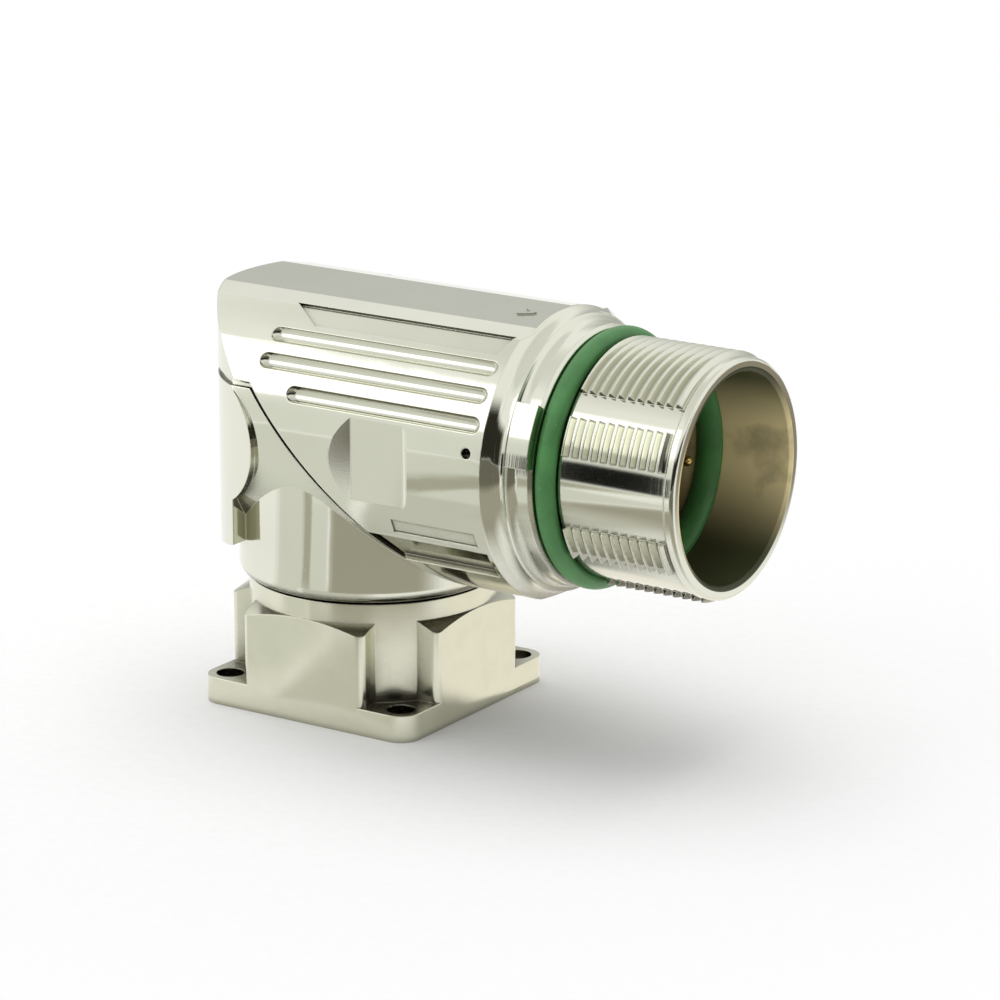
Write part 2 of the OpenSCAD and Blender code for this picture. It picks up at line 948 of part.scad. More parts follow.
mounting_flange();
flange_seal();
swivel_elbow();
swivel_seal();
retaining_ring();
front_housing();
housing_gasket();
vibration_ring();
face_seal();
contact_insert();
insert_retainer();
for (i = [0 : contact_count - 1])
    contact_pin(i);
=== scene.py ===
"""Dresses the angled circular connector socket: finishes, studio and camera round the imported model."""

import math

import bpy
from bpy.props import FloatProperty, FloatVectorProperty, PointerProperty
from bpy.types import Operator, Panel, PropertyGroup
from mathutils import Matrix, Vector


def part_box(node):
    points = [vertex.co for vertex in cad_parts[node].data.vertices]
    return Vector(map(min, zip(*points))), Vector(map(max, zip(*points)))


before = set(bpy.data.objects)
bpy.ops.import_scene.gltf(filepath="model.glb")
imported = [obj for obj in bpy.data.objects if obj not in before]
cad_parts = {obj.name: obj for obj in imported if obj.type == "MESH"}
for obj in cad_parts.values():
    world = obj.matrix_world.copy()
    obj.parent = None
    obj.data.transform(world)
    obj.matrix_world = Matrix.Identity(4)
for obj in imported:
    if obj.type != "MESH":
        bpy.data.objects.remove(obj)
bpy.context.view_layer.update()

bl_info = {
    "name": "Angled Connector Socket",
    "version": (1, 0, 0),
    "blender": (4, 5, 0),
    "location": "View3D > Sidebar > Socket",
    "description": "Finishes, studio and camera of an angled circular connector socket",
    "category": "Object",
}

MM = 0.001

CONTACTS = sorted(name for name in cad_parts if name.startswith("contact_pin_"))
MATING_AXIS_Z = sum(corner.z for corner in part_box("vibration_ring")) / 2
BARREL_FROM_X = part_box("vibration_ring")[0].x - 3.4 * MM
SOCKET_FROM_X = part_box("contact_insert")[1].x
SOCKET_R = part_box("face_seal")[1].y + 0.05 * MM

# Where painted shade darkens the nickel: how far a place looks round, the open shares at which the shade starts and
# is full, and its most
CORNERS = {"reach": 1.4 * MM, "open_at": 0.82, "full_at": 0.28, "most": 0.92}
UNDER_BODY = {"reach": 16.0 * MM, "open_at": 0.95, "full_at": 0.74, "most": 0.95}
UNDER_ELBOW = {"reach": 5.0 * MM, "open_at": 0.80, "full_at": 0.30, "most": 0.95}
IN_NOTCHES = {"reach": 8.0 * MM, "open_at": 0.85, "full_at": 0.40, "most": 0.95}
# Share of the painted shade in corners that is left on the barrel and low on the elbow's back, and where that back
# begins
CORNERS_ON_BARREL = 0.3
CORNERS_ON_LOW_BACK = 0.15
LOW_BACK_X = (-1.5 * MM, -3.5 * MM)
LOW_BACK_Z = (31.0 * MM, 28.0 * MM)
TURNED_SHARE = 0.08
SOCKET_METALLIC = 0.1

# Camera: the way back to it, the picture's right, and its place along back, right and up
CAMERA_BACK = (0.5311, -0.8010, 0.2764)
CAMERA_RIGHT = (0.8335, 0.5526, 0.0)
CAMERA_PLACE = (421.74 * MM, 12.022 * MM, 18.201 * MM)
SENSOR_WIDTH = 36.0

# Lamps: place and side
SOFTBOX = ((-0.05, 0.08, 0.62), 0.6)
FILL = ((-0.42, -0.42, 0.40), 0.35)
FLOOR_RADIUS = 4.0
# From where to where the floor turns white for reflections
GLOSS_FADE = (0.014, 0.03)
# Where the floor starts to fade for the camera, as a share of the shadow radius
SHADOW_CORE = 0.3


class NickelSettings(PropertyGroup):
    """Finish of the plated castings."""
    body_colour: FloatVectorProperty(
        name="Body", description="Colour of the polished nickel on elbow and housing",
        subtype="COLOR", size=3, min=0, max=1, default=(0.780, 0.785, 0.670))
    flange_colour: FloatVectorProperty(
        name="Flange", description="Colour of the satin nickel on the flange",
        subtype="COLOR", size=3, min=0, max=1, default=(0.755, 0.750, 0.610))
    socket_colour: FloatVectorProperty(
        name="Socket", description="Colour of the dull plating inside the socket",
        subtype="COLOR", size=3, min=0, max=1, default=(0.95, 0.80, 0.44))
    # Painted shade: the socket's plating is darkened towards this colour towards the top and bottom of its wall,
    # where the light does not reach, and in random blotches of uneven plating
    socket_shade: FloatVectorProperty(
        name="Socket shade", description="Colour of that plating at the top and bottom of the socket",
        subtype="COLOR", size=3, min=0, max=1, default=(0.050, 0.055, 0.024))
    # Painted shade: the nickel is darkened towards this colour in corners, seams, notches and under the body and the
    # elbow, where shade falls
    painted_shade_colour: FloatVectorProperty(
        name="Painted shade", description="Colour of the nickel in corners and seams",
        subtype="COLOR", size=3, min=0, max=1, default=(0.085, 0.075, 0.054))
    body_roughness: FloatProperty(
        name="Body roughness", description="Roughness of the polished nickel",
        subtype="FACTOR", min=0, max=1, default=0.07)
    socket_roughness: FloatProperty(
        name="Socket roughness", description="Roughness of the dull plating inside the socket",
        subtype="FACTOR", min=0, max=1, default=0.36)
    flange_roughness: FloatProperty(
        name="Flange roughness", description="Roughness of the satin nickel",
        subtype="FACTOR", min=0, max=1, default=0.17)
    edge_radius: FloatProperty(
        name="Edge radius", description="Rounding that plating and tumbling leave on each edge",
        unit="LENGTH", min=0, max=0.001, precision=5, default=0.16 * MM)
    wave_depth: FloatProperty(
        name="Wave depth", description="Depth of the long waves in a cast face",
        unit="LENGTH", min=0, max=0.0005, precision=6, default=0.02 * MM)
    grain_depth: FloatProperty(
        name="Grain depth", description="Depth of the fine grain of the satin nickel",
        unit="LENGTH", min=0, max=0.0005, precision=6, default=0.004 * MM)


class SealSettings(PropertyGroup):
    """Finish of the rubber rings."""
    green: FloatVectorProperty(
        name="Green", description="Colour of the ring behind the thread and of the seal in the mouth",
        subtype="COLOR", size=3, min=0, max=1, default=(0.085, 0.285, 0.082))
    black: FloatVectorProperty(
        name="Black", description="Colour of the hidden seals",
        subtype="COLOR", size=3, min=0, max=1, default=(0.018, 0.019, 0.019))
    roughness: FloatProperty(
        name="Roughness", description="Roughness of the rubber",
        subtype="FACTOR", min=0, max=1, default=0.42)
    grain_depth: FloatProperty(
        name="Grain depth", description="Depth of the grain that the mould leaves on the rubber",
        unit="LENGTH", min=0, max=0.0005, precision=6, default=0.01 * MM)


class ContactSettings(PropertyGroup):
    """Finish of the insert, its contacts and the snap rings."""
    gold: FloatVectorProperty(
        name="Gold", description="Colour of the contacts",
        subtype="COLOR", size=3, min=0, max=1, default=(0.92, 0.66, 0.26))
    insulator: FloatVectorProperty(
        name="Insulator", description="Colour of the moulded insert",
        subtype="COLOR", size=3, min=0, max=1, default=(0.020, 0.021, 0.020))
    steel: FloatVectorProperty(
        name="Steel", description="Colour of the snap rings",
        subtype="COLOR", size=3, min=0, max=1, default=(0.36, 0.37, 0.38))


class StudioSettings(PropertyGroup):
    """Floor, light and camera."""
    floor_colour: FloatVectorProperty(
        name="Floor", description="Colour of the floor",
        subtype="COLOR", size=3, min=0, max=1, default=(0.93, 0.93, 0.93))
    shadow_radius: FloatProperty(
        name="Shadow radius", description="Distance at which the floor has faded into the white background",
        unit="LENGTH", min=0.02, max=1, default=0.11)
    ambient: FloatProperty(
        name="Ambient", description="Strength of the even light from all round",
        min=0, max=2, default=0.6)
    softbox_energy: FloatProperty(
        name="Softbox", description="Power of the softbox overhead",
        unit="POWER", min=0, max=200, default=2.2)
    fill_energy: FloatProperty(
        name="Fill", description="Power of the panel beside the camera",
        unit="POWER", min=0, max=200, default=0.35)
    lens: FloatProperty(
        name="Lens", description="Focal length of the camera",
        unit="CAMERA", min=20, max=400, default=157.644)


def put(tree, kind, inputs=None, **settings):
    """Adds a node, with its settings and with values or links on its inputs."""
    node = tree.nodes.new(kind)
    for name, value in settings.items():
        setattr(node, name, value)
    for key, value in (inputs or {}).items():
        if isinstance(value, bpy.types.NodeSocket):
            tree.links.new(value, node.inputs[key])
        else:
            node.inputs[key].default_value = value
    return node


def calc(tree, operation, first, second=0.0, clamp=False):
    """Adds a Math node and returns its value."""
    return put(tree, "ShaderNodeMath", {0: first, 1: second}, operation=operation, use_clamp=clamp).outputs[0]


def ramp(tree, value, low, high, to_low=0.0, to_high=1.0):
    """Adds a smooth Map Range node and returns its value."""
    return put(
        tree, "ShaderNodeMapRange",
        {"Value": value, "From Min": low, "From Max": high, "To Min": to_low, "To Max": to_high},
        interpolation_type="SMOOTHSTEP").outputs["Result"]


def blend(tree, factor, first, second):
    """Adds a Mix node for colours and returns its colour."""
    node = put(tree, "ShaderNodeMix", {0: factor}, data_type="RGBA")
    for index, value in ((6, first), (7, second)):
        if isinstance(value, bpy.types.NodeSocket):
            tree.links.new(value, node.inputs[index])
        else:
            node.inputs[index].default_value = value
    return node.outputs[2]


def noise(tree, vector, scale, detail=2.0, dimensions="3D"):
    """Adds a Noise node and returns its value."""
    key = "W" if dimensions == "1D" else "Vector"
    return put(
        tree, "ShaderNodeTexNoise", {key: vector, "Scale": scale, "Detail": detail},
        noise_dimensions=dimensions).outputs[0]


def start_group(name, inputs, outputs):
    """Starts a node group with named sockets and returns its tree, input node and output node."""
    tree = bpy.data.node_groups.new(name, "ShaderNodeTree")
    for socket_name, default in inputs.items():
        socket = tree.interface.new_socket(name=socket_name, in_out="INPUT", socket_type="NodeSocketFloat")
        socket.default_value = default
    for socket_name in outputs:
        tree.interface.new_socket(name=socket_name, in_out="OUTPUT", socket_type="NodeSocketFloat")
    return tree, tree.nodes.new("NodeGroupInput"), tree.nodes.new("NodeGroupOutput")


def place(tree, group, **values):
    """Places a node group in a material, its values given by the sockets' names."""
    node = put(tree, "ShaderNodeGroup", node_tree=group)
    for name, value in values.items():
        node.inputs[name.replace("_", " ").capitalize()].default_value = value
    return node


def cast_surface_group():
    """Long waves and fine grain of a cast face, as a height, and slow clouds, as a mask."""
    name = "Cast surface"
    if name in bpy.data.node_groups:
        return bpy.data.node_groups[name]
    tree, given, out = start_group(
        name, {"Waves": 200.0, "Grain": 5000.0, "Grain share": 0.1}, ("Height", "Clouds"))
    where = put(tree, "ShaderNodeTexCoord").outputs["Object"]
    waves = noise(tree, where, given.outputs["Waves"], 1.0)
    grain = noise(tree, where, given.outputs["Grain"], 2.0)
    share = given.outputs["Grain share"]
    rest = calc(tree, "SUBTRACT", 1.0, share)
    height = calc(tree, "ADD", calc(tree, "MULTIPLY", waves, rest), calc(tree, "MULTIPLY", grain, share))
    clouds = noise(tree, where, calc(tree, "MULTIPLY", given.outputs["Waves"], 0.6), 4.0)
    tree.links.new(height, out.inputs["Height"])
    tree.links.new(clouds, out.inputs["Clouds"])
    return tree


def turned_lines_group():
    """Fine lines that a lathe leaves round the mating axis, as a height."""
    name = "Turned lines"
    if name in bpy.data.node_groups:
        return bpy.data.node_groups[name]
    tree, given, out = start_group(name, {"Lines": 9000.0}, ("Height",))
    where = put(tree, "ShaderNodeTexCoord").outputs["Object"]
    along = put(tree, "ShaderNodeSeparateXYZ", {0: where}).outputs["X"]
    lines = noise(tree, along, given.outputs["Lines"], 3.0, "1D")
    tree.links.new(lines, out.inputs["Height"])
    return tree


def specks_group():
    """Small scattered specks of dust and moulding marks, as a mask."""
    name = "Specks"
    if name in bpy.data.node_groups:
        return bpy.data.node_groups[name]
    tree, given, out = start_group(name, {"Scale": 1500.0, "Amount": 0.3}, ("Mask",))
    where = put(tree, "ShaderNodeTexCoord").outputs["Object"]
    spots = noise(tree, where, given.outputs["Scale"], 2.0)
    edge = ramp(tree, given.outputs["Amount"], 0.0, 1.0, 0.78, 0.42)
    mask = calc(tree, "MULTIPLY", calc(tree, "SUBTRACT", spots, edge), 9.0, clamp=True)
    tree.links.new(mask, out.inputs["Mask"])
    return tree


def scratches_group():
    """Hairline marks from handling, as a mask."""
    name = "Hairlines"
    if name in bpy.data.node_groups:
        return bpy.data.node_groups[name]
    tree, given, out = start_group(name, {"Length": 260.0, "Fineness": 9000.0, "Amount": 0.3}, ("Mask",))
    where = put(tree, "ShaderNodeTexCoord").outputs["Object"]
    masks = []
    for turn in ((0.3, 0.5, 0.9), (1.1, -0.4, 2.2)):
        turned = put(tree, "ShaderNodeMapping", {"Vector": where, "Rotation": turn}).outputs[0]
        fine = given.outputs["Fineness"]
        scale = put(tree, "ShaderNodeCombineXYZ", {"X": given.outputs["Length"], "Y": fine, "Z": fine}).outputs[0]
        stretched = put(tree, "ShaderNodeVectorMath", {0: turned, 1: scale}, operation="MULTIPLY").outputs[0]
        lines = noise(tree, stretched, 1.0, 0.0)
        edge = ramp(tree, given.outputs["Amount"], 0.0, 1.0, 0.86, 0.6)
        masks.append(calc(tree, "MULTIPLY", calc(tree, "SUBTRACT", lines, edge), 12.0, clamp=True))
    tree.links.new(calc(tree, "MAXIMUM", masks[0], masks[1]), out.inputs["Mask"])
    return tree


def closed_in_group(own_only):
    """How far a place is closed in by what lies round it, as a mask; own_only leaves other pieces out."""
    name = "Closed in by its own piece" if own_only else "Closed in"
    if name in bpy.data.node_groups:
        return bpy.data.node_groups[name]
    tree, given, out = start_group(
        name, {"Reach": 1.0 * MM, "Open at": 0.8, "Full at": 0.3, "Most": 0.9}, ("Mask",))
    open_share = put(
        tree, "ShaderNodeAmbientOcclusion", {"Distance": given.outputs["Reach"]},
        samples=4, only_local=own_only).outputs["AO"]
    mask = ramp(
        tree, open_share, given.outputs["Open at"], given.outputs["Full at"], 0.0, given.outputs["Most"])
    tree.links.new(mask, out.inputs["Mask"])
    return tree


def start_material(name):
    """Starts a material and returns it with its tree and its Principled shader."""
    material = bpy.data.materials.new(name)
    material.use_nodes = True
    tree = material.node_tree
    return material, tree, tree.nodes["Principled BSDF"]


def rgba(colour):
    """A colour with its alpha."""
    return (*colour, 1.0)


def wear(node_name, material):
    """Gives a node of the frame its finished material."""
    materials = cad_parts[node_name].data.materials
    materials.clear()
    materials.append(material)


def inside_socket(tree, where):
    """1 on the wall inside the socket and 0 elsewhere, and how far up or down that wall a place is."""
    along = put(tree, "ShaderNodeSeparateXYZ", {0: where}).outputs["X"]
    from_axis = put(
        tree, "ShaderNodeVectorMath", {0: where, 1: (0.0, 0.0, MATING_AXIS_Z)}, operation="SUBTRACT").outputs[0]
    across = put(tree, "ShaderNodeVectorMath", {0: from_axis, 1: (0.0, 1.0, 1.0)}, operation="MULTIPLY").outputs[0]
    radius = put(tree, "ShaderNodeVectorMath", {0: across}, operation="LENGTH").outputs["Value"]
    inside = calc(tree, "MULTIPLY", calc(tree, "LESS_THAN", radius, SOCKET_R),
                  calc(tree, "GREATER_THAN", along, SOCKET_FROM_X))
    rise = calc(tree, "ABSOLUTE", put(tree, "ShaderNodeSeparateXYZ", {0: from_axis}).outputs["Z"])
    return inside, calc(tree, "DIVIDE", rise, SOCKET_R)


def closed_in(tree, values, own_only=False):
    """Places a closed-in group and returns its mask."""
    return place(tree, closed_in_group(own_only), **values).outputs["Mask"]


def facing_up(tree):
    """How far a face looks up, from -1 to 1."""
    facing = put(tree, "ShaderNodeNewGeometry").outputs["True Normal"]
    return put(tree, "ShaderNodeSeparateXYZ", {0: facing}).outputs["Z"]


def flange_painted_shade(tree):
    """Painted shade in the flange's notches and on what lies under the elbow."""
    painted_shade_under_elbow = calc(
        tree, "MULTIPLY", closed_in(tree, UNDER_ELBOW), ramp(tree, facing_up(tree), 0.3, 0.6))
    return calc(tree, "MAXIMUM", closed_in(tree, IN_NOTCHES, own_only=True), painted_shade_under_elbow)


def body_painted_shade(tree, inside):
    """Painted shade on what looks down under the body, and none inside the socket."""
    outside = calc(tree, "SUBTRACT", 1.0, inside)
    under = calc(tree, "MULTIPLY", ramp(tree, facing_up(tree), -0.1, -0.45), outside)
    # Painted shade: darker the more the place is closed in by what lies round it
    return calc(tree, "MULTIPLY", closed_in(tree, UNDER_BODY), under)


def socket_plating_and_shade(tree, own, where, rise):
    """Colour of the dull plating in the socket: painted shade towards its top and bottom, and blotchy."""
    blotches = ramp(tree, noise(tree, where, 230.0, 4.0), 0.45, 0.75, 0.0, 0.5)
    # Painted shade towards the top and bottom of the socket's wall, with random blotches of uneven plating
    painted_shade_and_blotches = calc(tree, "MAXIMUM", ramp(tree, rise, 0.1, 0.85), blotches)
    return blend(tree, painted_shade_and_blotches, rgba(own.socket_colour), rgba(own.socket_shade))


def nickel(name, own, colour, roughness, depth, surface, turned=False):
    """Plated casting: soft edges, long waves, fine grain, and painted shade where it is closed in."""
    material, tree, shader = start_material(name)
    cast = place(tree, cast_surface_group(), **surface)
    hairs = place(tree, scratches_group(), length=240.0, fineness=8000.0, amount=0.25)
    soft_edge = put(tree, "ShaderNodeBevel", {"Radius": own.edge_radius}, samples=6).outputs[0]
    height = cast.outputs["Height"]
    # Painted shade in corners and creases, where the nickel is closed in
    corners = closed_in(tree, CORNERS)
    plain, rough = rgba(colour), roughness
    shader.inputs["Metallic"].default_value = 1.0
    shader.inputs["Specular IOR Level"].default_value = 0.2
    if turned:
        where = put(tree, "ShaderNodeTexCoord").outputs["Object"]
        split = put(tree, "ShaderNodeSeparateXYZ", {0: where}).outputs
        on_barrel = calc(tree, "GREATER_THAN", split["X"], BARREL_FROM_X)
        low_back = calc(
            tree, "MULTIPLY", ramp(tree, split["X"], *LOW_BACK_X), ramp(tree, split["Z"], *LOW_BACK_Z))
        lines = place(tree, turned_lines_group(), lines=7000.0).outputs["Height"]
        height = put(
            tree, "ShaderNodeMix", {0: on_barrel, 2: height, 3: calc(tree, "MULTIPLY", lines, TURNED_SHARE)},
            data_type="FLOAT").outputs[0]
        for mask, left in ((on_barrel, CORNERS_ON_BARREL), (low_back, CORNERS_ON_LOW_BACK)):
            corners = calc(tree, "MULTIPLY", corners, ramp(tree, mask, 0.0, 1.0, 1.0, left))
        inside, rise = inside_socket(tree, where)
        sheltered_painted_shade = body_painted_shade(tree, inside)
        plain = blend(tree, inside, rgba(colour), socket_plating_and_shade(tree, own, where, rise))
        rough = ramp(tree, inside, 0.0, 1.0, roughness, own.socket_roughness)
        tree.links.new(ramp(tree, inside, 0.0, 1.0, 1.0, SOCKET_METALLIC), shader.inputs["Metallic"])
    else:
        sheltered_painted_shade = flange_painted_shade(tree)
    bump = put(
        tree, "ShaderNodeBump",
        {"Strength": 1.0, "Distance": depth, "Height": height, "Normal": soft_edge}).outputs[0]
    cloudy = ramp(tree, cast.outputs["Clouds"], 0.35, 0.8, 0.0, 0.05)
    # Painted shade from corners and sheltered places, with a little random cloudy tone on top
    painted_shade_and_clouds = calc(tree, "ADD", calc(tree, "MAXIMUM", corners, sheltered_painted_shade), cloudy, clamp=True)
    dulled = calc(
        tree, "ADD", calc(tree, "MULTIPLY", hairs.outputs["Mask"], 0.12), calc(tree, "MULTIPLY", painted_shade_and_clouds, 0.10))
    tree.links.new(blend(tree, painted_shade_and_clouds, plain, rgba(own.painted_shade_colour)), shader.inputs["Base Color"])
    tree.links.new(calc(tree, "ADD", dulled, rough, clamp=True), shader.inputs["Roughness"])
    tree.links.new(bump, shader.inputs["Normal"])
    return material


def rubber(name, colour, roughness, depth):
    """Moulded rubber: fine grain and a little dust."""
    material, tree, shader = start_material(name)
    cast = place(tree, cast_surface_group(), waves=420.0, grain=7000.0, grain_share=0.5)
    dust = place(tree, specks_group(), scale=2600.0, amount=0.35)
    paler = [0.75 * value + 0.12 for value in colour]
    deeper = [0.72 * value for value in colour]
    tone = blend(tree, ramp(tree, cast.outputs["Clouds"], 0.3, 0.75), rgba(deeper), rgba(colour))
    dusty = calc(tree, "MULTIPLY", dust.outputs["Mask"], 0.5)
    tree.links.new(blend(tree, dusty, tone, rgba(paler)), shader.inputs["Base Color"])
    rough = ramp(tree, cast.outputs["Clouds"], 0.2, 0.8, roughness - 0.08, roughness + 0.1)
    tree.links.new(rough, shader.inputs["Roughness"])
    bump = put(
        tree, "ShaderNodeBump",
        {"Strength": 1.0, "Distance": depth, "Height": cast.outputs["Height"]}).outputs[0]
    tree.links.new(bump, shader.inputs["Normal"])
    shader.inputs["Specular IOR Level"].default_value = 0.45
    return material


class SOCKET_OT_flange(Operator):
    """Give the mounting flange its satin nickel"""
    bl_idname = "socket.flange"
    bl_label = "Mounting Flange"

    def execute(self, context):
        own = context.scene.socket_nickel
        surface = {"waves": 700.0, "grain": 9000.0, "grain_share": 0.6}
        wear("mounting_flange", nickel(
            "Satin nickel", own, own.flange_colour, own.flange_roughness, own.grain_depth, surface))
        return {"FINISHED"}


class SOCKET_OT_body(Operator):
    """Give the elbow and the housing their polished nickel"""
    bl_idname = "socket.body"
    bl_label = "Elbow and Housing"

    def execute(self, context):
        own = context.scene.socket_nickel
        surface = {"waves": 190.0, "grain": 6000.0, "grain_share": 0.05}
        polished = nickel(
            "Polished nickel", own, own.body_colour, own.body_roughness, own.wave_depth, surface, turned=True)
        wear("swivel_elbow", polished)
        wear("front_housing", polished)
        return {"FINISHED"}


class SOCKET_OT_green_seals(Operator):
    """Give the ring behind the thread and the seal in the mouth their green rubber"""
    bl_idname = "socket.green_seals"
    bl_label = "Green Seals"

    def execute(self, context):
        own = context.scene.socket_seals
        green = rubber("Green rubber", own.green, own.roughness, own.grain_depth)
        wear("vibration_ring", green)
        wear("face_seal", green)
        return {"FINISHED"}


class SOCKET_OT_black_seals(Operator):
    """Give the hidden seals their black rubber"""
    bl_idname = "socket.black_seals"
    bl_label = "Black Seals"

    def execute(self, context):
        own = context.scene.socket_seals
        black = rubber("Black rubber", own.black, own.roughness, own.grain_depth)
        for name in ("flange_seal", "swivel_seal", "housing_gasket"):
            wear(name, black)
        return {"FINISHED"}


class SOCKET_OT_insert(Operator):
    """Give the insert its moulded plastic"""
    bl_idname = "socket.insert"
    bl_label = "Contact Insert"

    def execute(self, context):
        colour = context.scene.socket_contacts.insulator
        material, tree, shader = start_material("Moulded insulator")
        cast = place(tree, cast_surface_group(), waves=500.0, grain=9000.0, grain_share=0.5)
        fibres = place(tree, scratches_group(), length=2200.0, fineness=12000.0, amount=0.5)
        paler = [2.2 * value + 0.01 for value in colour]
        streaks = calc(tree, "MULTIPLY", fibres.outputs["Mask"], 0.6)
        tree.links.new(blend(tree, streaks, rgba(colour), rgba(paler)), shader.inputs["Base Color"])
        tree.links.new(ramp(tree, cast.outputs["Clouds"], 0.2, 0.8, 0.38, 0.56), shader.inputs["Roughness"])
        bump = put(
            tree, "ShaderNodeBump",
            {"Strength": 1.0, "Distance": 0.006 * MM, "Height": cast.outputs["Height"]}).outputs[0]
        tree.links.new(bump, shader.inputs["Normal"])
        wear("contact_insert", material)
        return {"FINISHED"}


class SOCKET_OT_contacts(Operator):
    """Give the contacts their gold"""
    bl_idname = "socket.contacts"
    bl_label = "Contacts"

    def execute(self, context):
        colour = context.scene.socket_contacts.gold
        material, tree, shader = start_material("Contact gold")
        cast = place(tree, cast_surface_group(), waves=900.0, grain=9000.0, grain_share=0.3)
        lines = place(tree, turned_lines_group(), lines=16000.0)
        deeper = (colour[0] * 0.86, colour[1] * 0.74, colour[2] * 0.6)
        tone = blend(tree, ramp(tree, cast.outputs["Clouds"], 0.3, 0.75), rgba(deeper), rgba(colour))
        tree.links.new(tone, shader.inputs["Base Color"])
        tree.links.new(ramp(tree, cast.outputs["Clouds"], 0.2, 0.8, 0.16, 0.28), shader.inputs["Roughness"])
        bump = put(
            tree, "ShaderNodeBump",
            {"Strength": 1.0, "Distance": 0.002 * MM, "Height": lines.outputs["Height"]}).outputs[0]
        tree.links.new(bump, shader.inputs["Normal"])
        shader.inputs["Metallic"].default_value = 1.0
        for name in CONTACTS:
            wear(name, material)
        return {"FINISHED"}


class SOCKET_OT_snap_rings(Operator):
    """Give the snap rings their spring steel"""
    bl_idname = "socket.snap_rings"
    bl_label = "Snap Rings"

    def execute(self, context):
        colour = context.scene.socket_contacts.steel
        material, tree, shader = start_material("Spring steel")
        cast = place(tree, cast_surface_group(), waves=600.0, grain=9000.0, grain_share=0.4)
        hairs = place(tree, scratches_group(), length=500.0, fineness=11000.0, amount=0.6)
        browner = (colour[0] * 0.8, colour[1] * 0.72, colour[2] * 0.62)
        tone = blend(tree, ramp(tree, cast.outputs["Clouds"], 0.35, 0.8), rgba(colour), rgba(browner))
        tree.links.new(tone, shader.inputs["Base Color"])
        rough = calc(tree, "ADD", calc(tree, "MULTIPLY", hairs.outputs["Mask"], 0.2), 0.3)
        tree.links.new(rough, shader.inputs["Roughness"])
        bump = put(
            tree, "ShaderNodeBump",
            {"Strength": 1.0, "Distance": 0.004 * MM, "Height": cast.outputs["Height"]}).outputs[0]
        tree.links.new(bump, shader.inputs["Normal"])
        shader.inputs["Metallic"].default_value = 1.0
        wear("retaining_ring", material)
        wear("insert_retainer", material)
        return {"FINISHED"}


def seeing_rays(tree):
    """1 for rays from the camera or through glass, and 1 for rays from gloss."""
    path = put(tree, "ShaderNodeLightPath").outputs
    eye = calc(tree, "MAXIMUM", path["Is Camera Ray"], path["Is Transmission Ray"])
    return eye, path["Is Glossy Ray"]


def sweep(name, arc, profile, rows=1):
    """A sheet swept round the swivel axis: profile from (radius, height) to (radius, height), with a map over it."""
    from_angle, to_angle = arc
    columns = max(2, round(abs(to_angle - from_angle) / 4))
    points, faces, cells = [], [], []
    for i in range(columns + 1):
        angle = math.radians(from_angle + (to_angle - from_angle) * i / columns)
        for j in range(rows + 1):
            radius, height = (a + (b - a) * j / rows for a, b in zip(*profile))
            points.append((radius * math.cos(angle), radius * math.sin(angle), height))
    for i in range(columns):
        for j in range(rows):
            first = i * (rows + 1) + j
            faces.append((first, first + rows + 1, first + rows + 2, first + 1))
            cells += [(i / columns, j / rows), ((i + 1) / columns, j / rows),
                      ((i + 1) / columns, (j + 1) / rows), (i / columns, (j + 1) / rows)]
    mesh = bpy.data.meshes.new(name)
    mesh.from_pydata(points, [], faces)
    layer = mesh.uv_layers.new(name="Map")
    for loop, cell in zip(layer.data, cells):
        loop.uv = cell
    piece = bpy.data.objects.new(name, mesh)
    bpy.context.scene.collection.objects.link(piece)
    return piece


# Cards that only reflections see: arc in degrees about the swivel axis, profile in metres, colour,
# and how far each edge fades: start and end of the arc, start and end of the profile
FLAGS = {
    "back_card": ((50, 205), ((0.8, 0.02), (0.8, 0.62)), (0.50, 0.51, 0.49), (0.2, 0.2, 0.05, 0.9)),
    "ceiling_card": ((0, 360), ((0.0, 0.9), (0.75, 0.9)), (0.80, 0.80, 0.78), (0, 0, 0, 0.35)),
    "left_side_card": ((-152, -100), ((0.7, 0.0), (0.7, 0.30)), (0.82, 0.83, 0.80), (0.3, 0.05, 0.02, 0.5)),
    "camera_side_card": ((-104, 25), ((0.6, 0.0), (0.6, 0.38)), (0.03, 0.028, 0.022), (0.09, 0.2, 0.02, 0.35)),
    "far_table_card": ((-101, 0), ((0.085, 0.0009), (0.6, 0.0009)), (0.17, 0.16, 0.13), (0.08, 0.3, 0.06, 0.02)),
    "left_table_card": ((-143, -111), ((0.016, 0.0006), (0.6, 0.0006)), (0.76, 0.77, 0.73), (0.3, 0.1, 0.02, 0.3)),
    "dark_strip": ((-114, -104), ((0.045, 0.0007), (0.16, 0.0007)), (0.46, 0.45, 0.38), (0.25, 0.25, 0.1, 0.3)),
    "pale_strip": ((-107, -91), ((0.045, 0.0006), (0.095, 0.0006)), (0.76, 0.77, 0.73), (0.2, 0.1, 0.1, 0.2)),
    "front_table_card": ((-112, -50), ((0.016, 0.0005), (0.06, 0.0005)), (0.64, 0.64, 0.60), (0.08, 0.3, 0.02, 0.3)),
    "near_table_card": ((-93, 5), ((0.032, 0.0008), (0.2, 0.0008)), (0.40, 0.38, 0.32), (0.06, 0.3, 0.12, 0.2)),
    "right_far_card": ((25, 88), ((0.085, 0.0006), (0.4, 0.0006)), (0.30, 0.27, 0.22), (0.2, 0.2, 0.12, 0.2)),
    "right_table_card": ((-5, 112), ((0.0125, 0.0005), (0.07, 0.0005)), (1.0, 0.96, 0.90), (0.15, 0.2, 0.02, 0.4)),
    "post": ((-106, -93.5), ((0.0945, 0.010), (0.0945, 0.042)), (0.005, 0.005, 0.005), (0.15, 0.15, 0.15, 0.15)),
}


